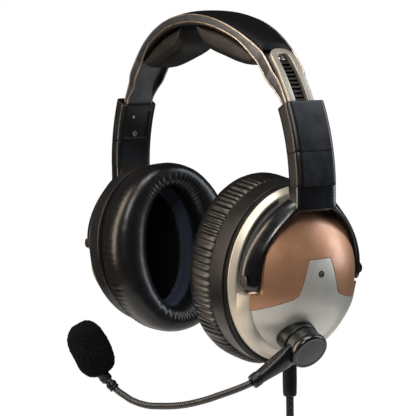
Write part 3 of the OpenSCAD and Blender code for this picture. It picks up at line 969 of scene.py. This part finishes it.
def add_yoke(name, side):
    """The fork's horns, and the stub that carries them up into the sleeve."""
    tip = [(1.4 + TIP_ROUND * sin(b), max(0.06, cos(b))) for b in steps(pi / 2, 0, 7)]
    rings = [arm_section(side, 0, drop, scale) for drop, scale in tip]
    rings += [arm_section(side, t, 0, 1) for t in steps(0, pi, 96)]
    rings += [arm_section(side, pi, drop, scale) for drop, scale in tip[::-1]]
    arms = fix_normals(loft(f"{name}_yoke_horns", rings, f"{name}_fork", "yoke_black"))
    subdivide(arms)
    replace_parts(arms, f"{name}_yoke")
    rings = []
    shape = ((-60.4, -0.25), (-60.5, 0), (-68.6, 0), (-70.4, 0.2), (-71.8, 0.1), (-72.8, -1.0))
    for z, grow in shape:
        ring = []
        for t in full_turn(64):
            y, x = oval(STUB_HALF[0] + grow * 1.6, STUB_HALF[1] + grow, 0, t, 6)
            ring.append(Vector((side * (STUB_X + x), y, z)) * MM)
        rings.append(ring)
    soften(fix_normals(loft(f"{name}_yoke_stub", rings, f"{name}_fork", "yoke_black")), 0.12)
    add_tilt_pins(name, side)


def add_tilt_pins(name, side):
    """A flat-headed pin through each of the fork's tips."""
    profile = [(0, -2.2), (1.9, -2.2), (1.9, 0.0), (2.9, 0.0), (2.9, 0.3), (2.7, 0.5), (0, 0.55)]
    for where, way in (("front", -1), ("rear", 1)):
        place = cup_point(side, 0, way * PIN_PLACE[0], PIN_PLACE[1])
        pin = lathe(f"{name}_{where}_pin", profile, place, (0, way, 0), f"{name}_fork", "spring_steel",
                    32, 0.1)
        if way < 0:
            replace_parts(pin, f"{name}_cup_pins")


# ---- ear cup shells ----

# Outlines are (half y, half u, middle, power). A rim's points are (out from an outline, depth).
CUP_MID = -3.5
SHELL_AROUND = 480
CROWN = (28.9, 38.5, -4, 2.3)
LOWER = (34, 38.4, -3, 2)
RIM = (39.5, 46.5, -2.5, 2)
RIM_EDGE = ((-0.8, -10.3), (0, -9.9), (-0.15, -9.4), (-2.1, -6.7), (-2.6, -6.42))
RING_HALF = (41, 48.5)
SLOPE_LOW, SLOPE_MID = -9.7, -6.2
WALL_LOW, WALL_R = -9.2, 47.7
SHELF_END = 17


def reach(shape, angle):
    """How far an outline is from the cup's middle at an angle, by halving."""
    y_half, u_half, mid, power = shape
    c, s, near, far = cos(angle), sin(angle), 0.0, 70.0
    for _ in range(26):
        r = (near + far) / 2
        inside = abs(r * c / y_half) ** power + abs((CUP_MID + r * s - mid) / u_half) ** power < 1
        near, far = (r, far) if inside else (near, r)
    return near


def cover_reach(angle):
    """How far the covers reach: the crown's outline above the shelf, and the lower one's under it."""
    crown = reach(CROWN, angle)
    return crown if CUP_MID + crown * sin(angle) >= SHELF_U else reach(LOWER, angle)


def dome_height(y, u, radius=DOME_R):
    """The depth of the domed covers' sphere at (y, u)."""
    return DOME_A + sqrt(radius ** 2 - y ** 2 - (u - DOME_U) ** 2)


def sloping_rim(points, edge, cover, angle, drop):
    """A rim that runs up to the lower cover: chamfered by the shelf, and bowed further under it."""
    high = dome_height(cover * cos(angle), CUP_MID + cover * sin(angle)) - 0.6
    span, blend = edge - cover, ease(drop, 0.0, 12.0)
    knee = (edge - span * 0.6, SLOPE_MID + (high - SLOPE_MID) * 0.45)
    chamfered = points + [(edge - 3.0, -6.35), knee, (cover + 0.8, high - 0.8), (cover + 0.3, high - 0.4),
                          (cover + 0.1, high - 0.1), (cover - 0.4, high)]
    bowed = points[:2]
    for bend in steps(0.04, 1.0, 8):
        turn = bend * pi / 2
        bowed.append((cover + span * cos(turn), SLOPE_LOW + (high - SLOPE_LOW) * sin(turn)))
    mixed = [(r + (b - r) * blend, a + (d - a) * blend) for (r, a), (b, d) in zip(chamfered, bowed)]
    return mixed + [(cover - 1.3, -8)]


def shell_profile(angle):
    """Points (distance from the middle, depth) across the rim, and whether they make the recess."""
    edge, cover = reach(RIM, angle), cover_reach(angle)
    level = CUP_MID + cover * sin(angle) - SHELF_U
    points = [(edge + out, a) for out, a in RIM_EDGE]
    if level < 0:
        return sloping_rim(points, edge, cover, angle, -level), False
    if abs(degrees(angle) % 360 - 90) < SHELF_END:
        shelf = [(edge - 3.2, -6.35), (edge - 3.8, -6.3), (edge - 5.0, -6.3), (cover + 2.0, -6.2),
                 (cover + 0.4, -6.2), (cover - 0.3, -6.2), (cover - 0.4, -8)]
        return points + shelf, False
    close = 1 - min(1.0, level / 6.5)
    wall = edge - (3.7 + (edge - cover - 4.6) * (1 - sqrt(1 - close * close)))
    sunk = [(wall + 0.9, -6.42), (wall + 0.3, -6.5), (wall, -6.9), (wall - 0.25, -8.3), (wall - 0.6, -8.7),
            (cover + 0.1, -8.7), (cover - 0.6, -8.8)]
    return points + sunk, True


def add_shell(name, side):
    """Champagne rim, sloping to the covers below and sunk into a grey recess beside the fork."""
    rings, sunk = [], []
    for angle in full_turn(SHELL_AROUND):
        points, recess = shell_profile(angle)
        c, s = cos(angle), sin(angle)
        rings.append([cup_point(side, a, r * c, CUP_MID + r * s) for r, a in points])
        sunk.append(recess)
    shell = loft(f"{name}_shell_rim", rings, f"{name}_cup", "shell_champagne", closed=True)
    shell.data.materials.append(MATERIALS["recess_grey"])
    count = len(rings[0])
    for face in shell.data.polygons:
        i = min(face.vertices) // count
        within = all(v % count >= len(RIM_EDGE) + 2 for v in face.vertices)
        if within and sunk[i] and sunk[(i + 1) % SHELL_AROUND]:
            face.material_index = 1
    fix_normals(shell)
    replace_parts(shell, f"{name}_cup_shell")
    soften(shell, 0.25, angle=40)
    add_cup_wall(name, side)


def add_cup_wall(name, side):
    """The dark wall that stands from the recess up to the covers' inner face."""
    outline = [(angle, cover_reach(angle)) for angle in full_turn(SHELL_AROUND)]
    rings = []
    for inset, low in ((0.5, True), (0.5, False), (1.7, False), (1.7, True)):
        ring = []
        for angle, r in outline:
            y, u = (r - inset) * cos(angle), CUP_MID + (r - inset) * sin(angle)
            ring.append(cup_point(side, WALL_LOW if low else dome_height(y, u, WALL_R), y, u))
        rings.append(ring)
    wall = loft(f"{name}_inner_wall", rings, f"{name}_cup", "black_plate", closed=True)
    wall.data.materials.append(MATERIALS["shell_champagne"])
    for face in wall.data.polygons:
        stations = {v % SHELL_AROUND for v in face.vertices}
        reaches = [outline[i][1] for i in stations]
        if max(reaches) - min(reaches) > 1.0:
            face.material_index = 1
    fix_normals(wall)


def add_seal_ring(name, side):
    """A broad satin band next to the cushion, a gap, and a thin line against the rim."""
    profile = [(-4, -24.6), (-0.5, -24.6), (0.1, -24.3), (0.35, -23.6), (0.1, -13.4), (-0.2, -12.9),
               (-1.1, -12.7), (-1.1, -11.9), (-0.7, -11.7), (-0.6, -10.9), (-1.1, -10.7), (-1.1, -10.05),
               (-4, -10.05)]
    rings = cup_ovals(side, profile, *RING_HALF, CUP_MID, 200)
    ring = fix_normals(loft(f"{name}_ring_band", rings, f"{name}_cup", "ring_black", closed=True))
    soften(ring, 0.12, angle=35)
    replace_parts(ring, f"{name}_seal_ring")


def add_tongue_screw(name, side):
    """The dark, dished head of the screw in the lower cover's tongue."""
    low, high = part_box(f"{name}_cover_screw")
    up = ((low.z + high.z) / 2 - PIN_Z) / MM
    u = (up + dome_height(0, up) * sin(TOE)) / cos(TOE)
    place = cup_point(side, dome_height(0, u), 0, u)
    head = [(0, -0.6), (1.7, -0.6), (1.75, 0.05), (1.45, 0.2), (1.15, 0.1), (0.8, -0.15), (0, -0.2)]
    out = place - cup_point(side, DOME_A, 0, DOME_U)
    lathe(f"{name}_tongue_screw", head, place, out, f"{name}_cup", "tooth_steel", 36, 0.04)


# ---- boom and microphone ----

SLOPE = radians(28)
BOOM_AXIS = Vector((cos(SLOPE), 0, -sin(SLOPE)))
BOOM_POS = mm(101.5, -7, -143)
BOOM_TIP = mm(91, -35, -157)
SINK = BOOM_AXIS * 2.4 * MM
ARM_STEPS = 40
MIC_POS = mm(17, -79, -163)
MIC_DIR = Vector((-0.355, -0.296, 0.887)).normalized()
MIC_HINGE = Vector((0.64, -0.768, 0)).normalized()
STALK_DIR = Vector((-0.09, -0.62, 0.78)).normalized()
NECK_RADII = (1.8, 1.72, 1.5, 1.72)
GOOSENECK_ROUTE = [Vector(p) * MM for p in (
    (91, -35, -157), (86.5, -39, -160), (82, -42.5, -162.5), (77, -46, -165), (72, -49, -167.5),
    (66, -53, -170), (60, -56.5, -172), (53.5, -60, -173.5), (47, -63, -174.5), (42, -66, -175),
    (37, -69, -174.5), (32, -71.5, -173.3), (28, -73, -171.8), (24, -74.7, -170), (21, -76, -168),
)]


def add_boom_pivot():
    """The stepped ring on the cup, and the glossy knob in the middle of the boom's hub."""
    base = [(0, -17), (9.9, -17), (9.9, -9.2), (9.7, -8.6), (9.4, -8.2), (0, -8.1)]
    ring = lathe("boom_base_ring", base, BOOM_POS, BOOM_AXIS, "left_cup", "boom_black", sides=72)
    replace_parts(ring, "boom_socket")
    knob = [(0, -0.25), (9.3, -0.25), (9.9, 0.0), (10.1, 0.5), (10.1, 2.4), (9.9, 3.1), (9.4, 3.6),
            (8.7, 3.75), (8.3, 3.5), (8.0, 3.45), (6.0, 3.6), (3.0, 3.9), (0.6, 3.95), (0, 3.95)]
    cap = lathe("boom_knob_cap", knob, BOOM_POS - SINK, BOOM_AXIS, "boom", "knob_black", sides=72, bevel=0)
    subdivide(cap)
    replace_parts(cap, "boom_knob")


def add_boom_arm():
    """The hub and the arm that sweeps from it, tapering to the gooseneck."""
    hub = BOOM_POS - SINK - BOOM_AXIS * 3 * MM
    disc = [(0, -5.6), (9.2, -5.6), (9.55, -5.2), (9.55, -0.7), (9.3, -0.3), (0, -0.3)]
    lathe("boom_hub", disc, BOOM_POS - SINK, BOOM_AXIS, "boom", "boom_black", sides=64)
    along = BOOM_TIP - hub
    line = [hub + along * f for f in steps(0.12, 1.0, ARM_STEPS)]
    w = along.normalized()
    flat = (BOOM_AXIS - w * BOOM_AXIS.dot(w)).normalized()
    wide = w.cross(flat)
    rings = []
    for i, point in enumerate(line):
        f = i / ARM_STEPS
        clear = ease(f, 0.10, 0.34)
        thick = 2.6 + 1.3 * clear - 0.8 * ease(f, 0.4, 1.0)
        broad = 7.0 - 3.7 * ease(f, 0.0, 0.95)
        rib = 0.35 * (ease(f, 0.84, 0.86) - ease(f, 0.97, 0.99))
        ring = []
        for t in full_turn(32):
            p, q = oval(broad + rib, thick + rib, 0, t, 2.2)
            ring.append(point + (wide * p + flat * q) * MM)
        rings.append(ring)
    arm = fix_normals(loft("boom_arm_sweep", rings, "boom", "boom_black"))
    soften(arm, 0.15, angle=40)
    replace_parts(arm, "boom_arm")


def add_gooseneck():
    """A tube of fine ribs."""
    path = smooth_path(GOOSENECK_ROUTE, 0.3 * MM)

    def ribbed(i):
        return NECK_RADII[i % len(NECK_RADII)] * MM

    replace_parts(sweep("gooseneck_tube", path, ribbed, "boom", "gooseneck_black", 18), "gooseneck")


def add_microphone():
    """The silver collar and its neck, the hinge, and the stalk that carries the foam."""
    end = GOOSENECK_ROUTE[-1]
    w = (MIC_POS - end).normalized()
    collar = [(0, -1.2), (2.5, -1.2), (2.75, -0.9), (2.75, 0.1), (2.45, 0.3), (2.45, 0.6), (2.9, 0.8),
              (2.9, 2.3), (2.6, 2.8), (0, 2.8)]
    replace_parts(lathe("silver_collar", collar, end, w, "boom", "collar_silver"), "mic_collar")
    neck = [(0, 2.4), (2.5, 2.4), (2.5, 3.0), (2.1, 3.3), (2.1, 4.7), (0, 4.7)]
    lathe("mic_neck", neck, end, w, "boom", "boom_black")
    cap = [(0, -2.6), (1.8, -2.6), (2.5, -2.2), (2.7, -1.6), (2.7, 1.6), (2.5, 2.2), (1.8, 2.6), (0, 2.65)]
    hinge = lathe("mic_hinge_cap", cap, MIC_POS, MIC_HINGE, "microphone", "boom_black")
    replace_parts(hinge, "mic_holder")
    stalk = [(0, -2.5), (2.6, -2.5), (3.1, -2.0), (3.1, 0.6), (2.7, 1.0), (2.9, 1.5), (3.1, 6.0),
             (3.3, 13.2), (3.0, 14.2), (2.2, 14.8), (0, 15.0)]
    lathe("mic_stalk", stalk, MIC_POS, STALK_DIR, "microphone", "boom_black")
    add_windscreen()


FOAM_OUT, FOAM_HALF, FOAM_LONG = 16.5, 10.4, 15.2


def add_windscreen():
    """A foam ball, with pores and a slightly lumpy outline."""
    mesh = bpy.data.meshes.new("foam_windscreen")
    ball = bmesh.new()
    bmesh.ops.create_icosphere(ball, subdivisions=6, radius=1)
    u, v = basis(MIC_DIR)
    middle = MIC_POS + MIC_DIR * FOAM_OUT * MM
    for vert in ball.verts:
        x, y, z = vert.co
        round_x, round_z = oval(1, 1, 0, asin(max(-1.0, min(1.0, z))), 2.7)
        flat = max(1e-6, hypot(x, y))
        place = (u * x + v * y) * (FOAM_HALF * round_x / flat) + MIC_DIR * round_z * FOAM_LONG
        lump = 0.45 * noise.noise(place * 0.16) + 0.34 * noise.noise(place * 0.95)
        pores = 0.30 * abs(noise.noise(place * 2.1))
        vert.co = middle + (place + place.normalized() * (lump - pores)) * MM
    ball.to_mesh(mesh)
    ball.free()
    piece = add_piece("foam_windscreen", mesh, "microphone", "foam_black")
    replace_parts(piece, "windscreen")


def add_strain_relief():
    """A tapered rubber sleeve where the cord leaves the cup."""
    top = mm(77.5, -2, -152)
    profile = [(0, 0.2), (3.9, 0.2), (3.9, 3.0), (3.7, 3.4), (3.75, 12.0), (3.6, 18.6), (3.3, 19.6),
               (2.4, 20), (0, 20)]
    relief = lathe("cord_relief", profile, top, (0, 0, -1), "left_cup", "boom_black", 40, 0.08)
    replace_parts(relief, "strain_relief")


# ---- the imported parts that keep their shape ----

def finish_nodes():
    """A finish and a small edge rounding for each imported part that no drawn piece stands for."""
    single = (
        ("crossover_cable", "cable_black", 0.2), ("mic_capsule", "spring_steel", 0.2),
        ("plug_shell", "plug_black", 0.4), ("plug_nut", "plug_metal", 0.3),
        ("plug_nose", "plug_metal", 0.15), ("plug_contacts", "contact_gold", 0.08),
    )
    paired = (
        ("sleeve_upper", "sleeve_black", 0.45), ("sleeve_lower", "sleeve_black", 0.35),
        ("detent_spring", "spring_steel", 0.1), ("sleeve_screws", "screw_steel", 0.15),
        ("swivel_pin", "screw_steel", 0.2),
        ("dome_cover", "dome_bronze", 0.35), ("lower_cover", "cover_grey", 0.3),
        ("cover_screw", "screw_steel", 0.15), ("baffle", "speaker_black", 0.2),
        ("speaker", "speaker_black", 0.3), ("noise_board", "board_green", 0.1),
    )
    for part in single:
        finish_node(*part)
    for name in SIDES:
        for part, *finish in paired:
            finish_node(f"{name}_{part}", *finish)


FLOOR_R = 320 * MM


def add_floor():
    """A pale disc just under the lowest part."""
    low, edge = CAD_BOX[0].z - 0.5 * MM, full_turn(96)
    verts = [(FLOOR_R * cos(t), FLOOR_R * sin(t), z) for z in (low, low - 2 * MM) for t in edge]
    mesh = bpy.data.meshes.new("floor")
    mesh.from_pydata(verts, [], ring_faces(2, len(edge), False) + [tuple(range(len(edge)))])
    pale = Shader("floor_pale", (0.86, 0.86, 0.85), 0.7)
    pale.paint(pale.ranged(pale.noise(30), 0.0, 0.4), (0.82, 0.82, 0.81))
    mesh.materials.append(pale.material)
    placed("floor", mesh)


add_camera()
add_cord()
add_studio()
cushions = [(ear_cushion(name, side), side) for name, side in SIDES.items()]
for piece, side in cushions:
    settle_cushion(piece, side)
add_head_pad()
add_frame()
add_band_cover()
for name, side in SIDES.items():
    add_rail_screw(name, side)
    add_rails(name, side)
    ear_lining(name, side)
    add_yoke(name, side)
    add_shell(name, side)
    add_seal_ring(name, side)
    add_tongue_screw(name, side)
add_boom_pivot()
add_boom_arm()
add_gooseneck()
add_microphone()
add_strain_relief()
finish_nodes()
add_floor()

bpy.context.view_layer.update()
